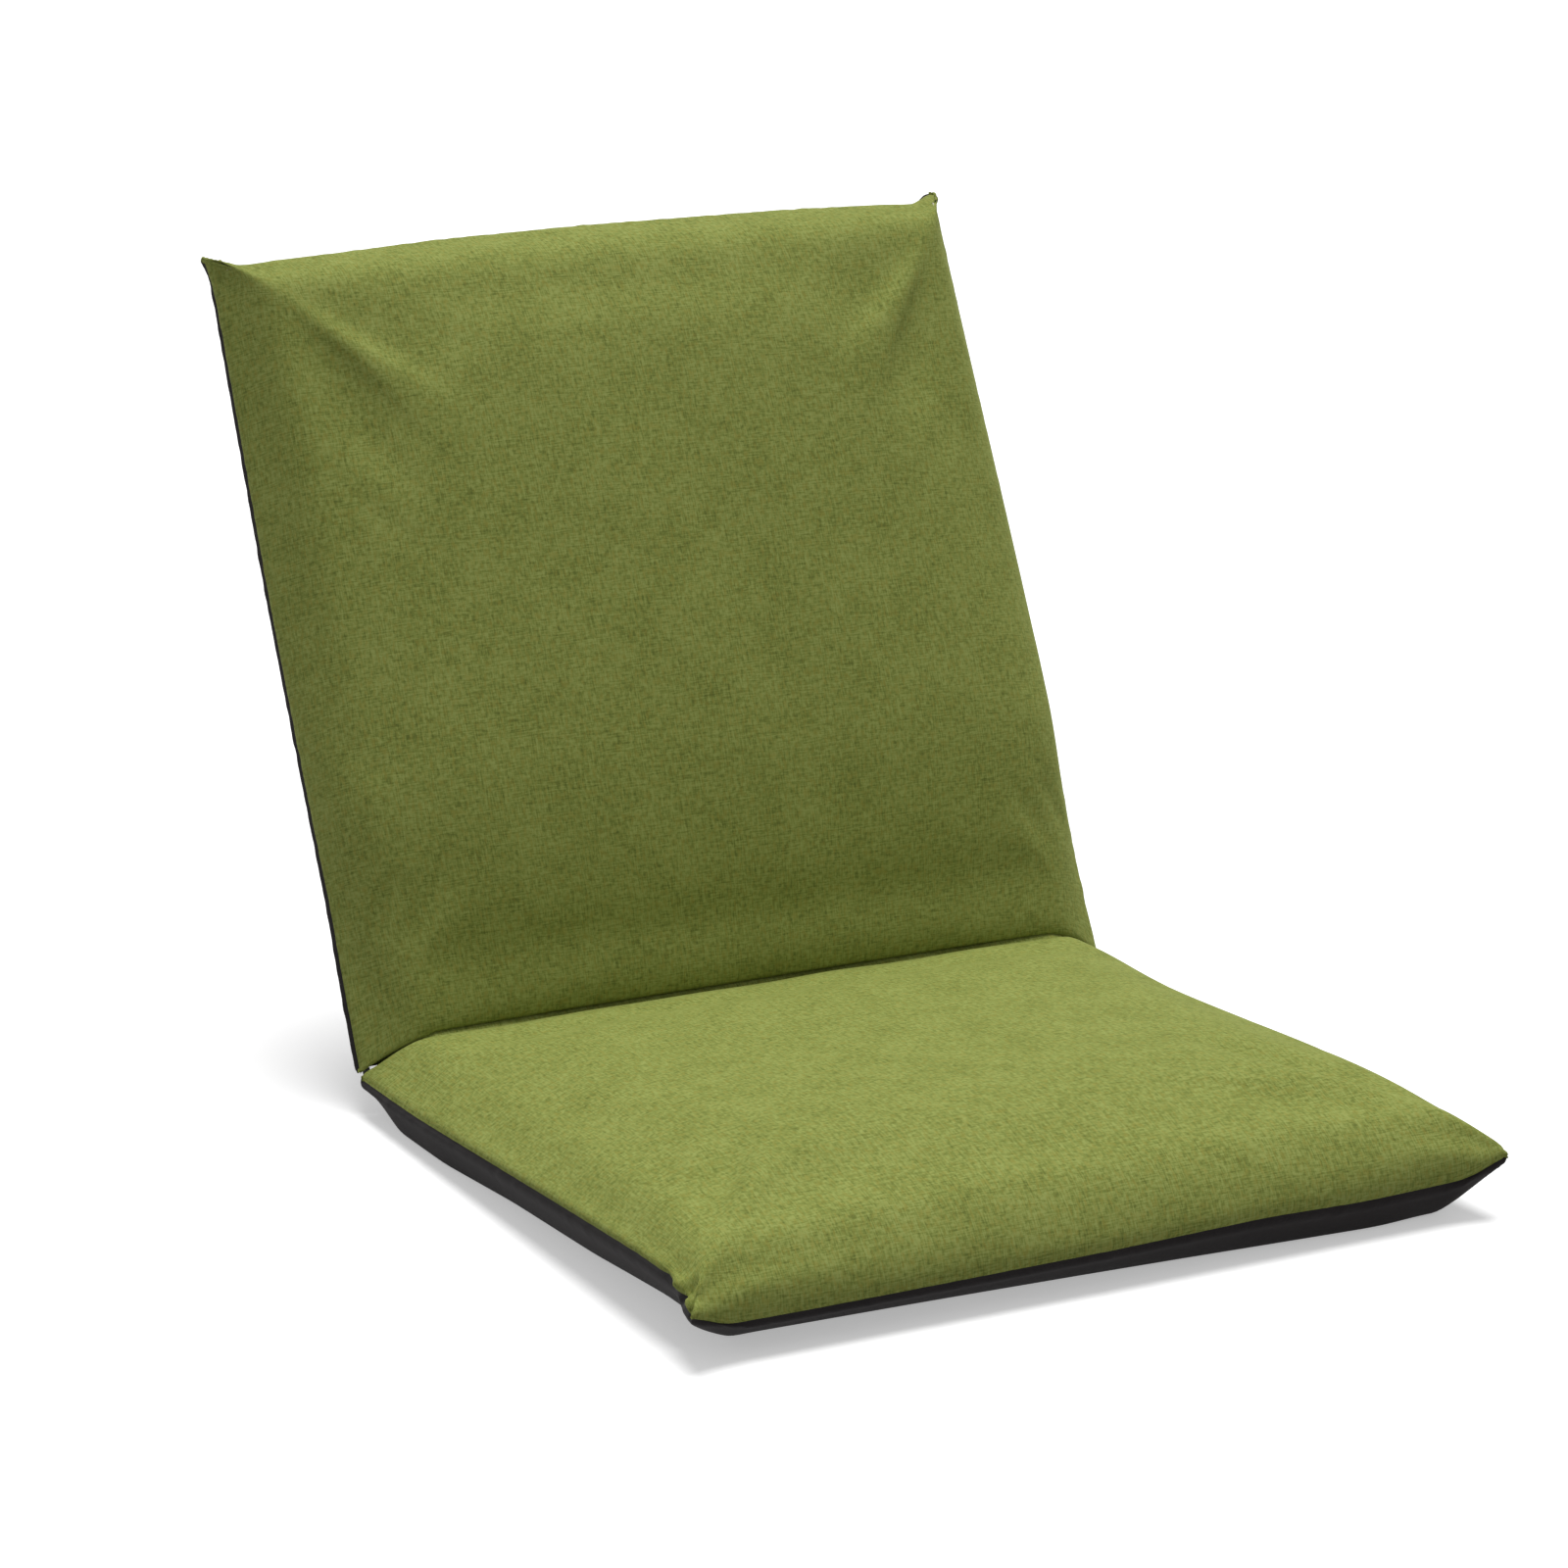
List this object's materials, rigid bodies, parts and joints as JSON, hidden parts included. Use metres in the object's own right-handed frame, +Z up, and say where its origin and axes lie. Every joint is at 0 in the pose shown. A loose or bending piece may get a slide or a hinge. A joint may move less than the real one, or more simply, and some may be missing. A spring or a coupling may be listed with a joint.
{
  "type": "folding floor chair",
  "caption": "Legless folding floor chair: a padded seat and a padded back on steel frames, joined by ratchet hinges at both ends of the fold.",
  "frame": {"origin": "centre of the seat's flat underside, on the floor", "axes": "+Z up, -Y the way the chair faces, +X to the right of someone who looks at its front"},
  "size_m": [0.5244, 0.7056, 0.4965],
  "materials": {
    "face_cloth": "matte",
    "base_cloth": "matte",
    "foam": "matte",
    "felt": "matte",
    "webbing": "matte",
    "frame_paint": "satin",
    "hinge_steel": "satin",
    "ratchet_steel": "satin",
    "rivet_steel": "satin",
    "spring_steel": "satin"
  },
  "bodies": {
    "seat": {"seat_face_cloth": "face_cloth", "seat_base_cloth": "base_cloth", "seat_foam": "foam", "seat_padding": "foam", "seat_felt": "felt", "seat_bands": "webbing", "seat_frame_tube": "frame_paint", "seat_cross_tube": "frame_paint", "fold_cloth": "base_cloth", "hinge_cheek_outer_left": "hinge_steel", "hinge_cheek_inner_left": "hinge_steel", "pivot_rivet_left": "rivet_steel", "pawl_pin_left": "rivet_steel", "pawl_spring_left": "spring_steel", "seat_rail_rivet_left": "rivet_steel", "hinge_cheek_outer_right": "hinge_steel", "hinge_cheek_inner_right": "hinge_steel", "pivot_rivet_right": "rivet_steel", "pawl_pin_right": "rivet_steel", "pawl_spring_right": "spring_steel", "seat_rail_rivet_right": "rivet_steel"},
    "back": {"back_face_cloth": "face_cloth", "back_rear_cloth": "base_cloth", "back_foam": "foam", "back_padding": "foam", "back_felt": "felt", "back_bands": "webbing", "back_frame_tube": "frame_paint", "back_cross_tube": "frame_paint", "ratchet_arm_left": "ratchet_steel", "back_rail_rivet_left": "rivet_steel", "ratchet_arm_right": "ratchet_steel", "back_rail_rivet_right": "rivet_steel"},
    "pawl_left": {"pawl_left": "ratchet_steel"},
    "pawl_right": {"pawl_right": "ratchet_steel"}
  },
  "joints": [
    {"name": "back_fold", "type": "hinge", "parent": "seat", "child": "back", "pos_m": [0, 0.23, 0.03], "axis": [1, 0, 0], "range_deg": [-64, 96], "deforming": ["seat_foam", "back_foam", "seat_face_cloth", "back_face_cloth", "fold_cloth"]},
    {"name": "pawl_left_lift", "type": "hinge", "parent": "seat", "child": "pawl_left", "pos_m": [-0.21, 0.2062, 0.036], "axis": [1, 0, 0], "range_deg": [0, 10], "stiffness_Nm_per_rad": 0.05, "deforming": ["pawl_spring_left"]},
    {"name": "pawl_right_lift", "type": "hinge", "parent": "seat", "child": "pawl_right", "pos_m": [0.21, 0.2062, 0.036], "axis": [1, 0, 0], "range_deg": [0, 10], "stiffness_Nm_per_rad": 0.05, "deforming": ["pawl_spring_right"]}
  ]
}
